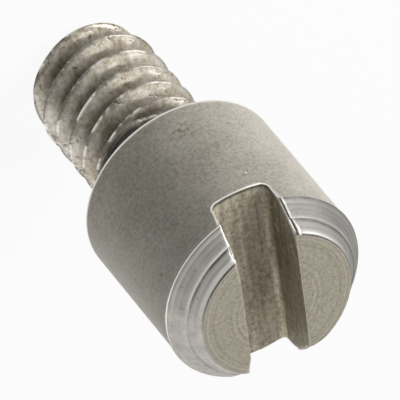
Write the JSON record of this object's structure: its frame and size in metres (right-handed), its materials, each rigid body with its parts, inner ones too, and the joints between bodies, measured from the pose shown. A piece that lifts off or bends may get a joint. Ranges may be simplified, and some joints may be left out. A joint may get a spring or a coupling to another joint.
{
  "type": "hinge pin",
  "caption": "One-piece steel hinge pin: smooth cylindrical barrel with a bevelled, slotted end and a shouldered, necked stud with a coarse right-hand thread.",
  "frame": {"origin": "centre of the shoulder face, where the barrel seats on the threaded plate", "axes": "+Z along the pin's axis towards the slotted face, +X along the screwdriver slot"},
  "size_m": [0.0096, 0.0096, 0.0185],
  "materials": {
    "pin_steel": "satin stainless steel, turned and tumbled, with fine turning marks on the bevel and slotted face"
  },
  "bodies": {
    "root": {"hinge_pin": "pin_steel"}
  },
  "joints": []
}
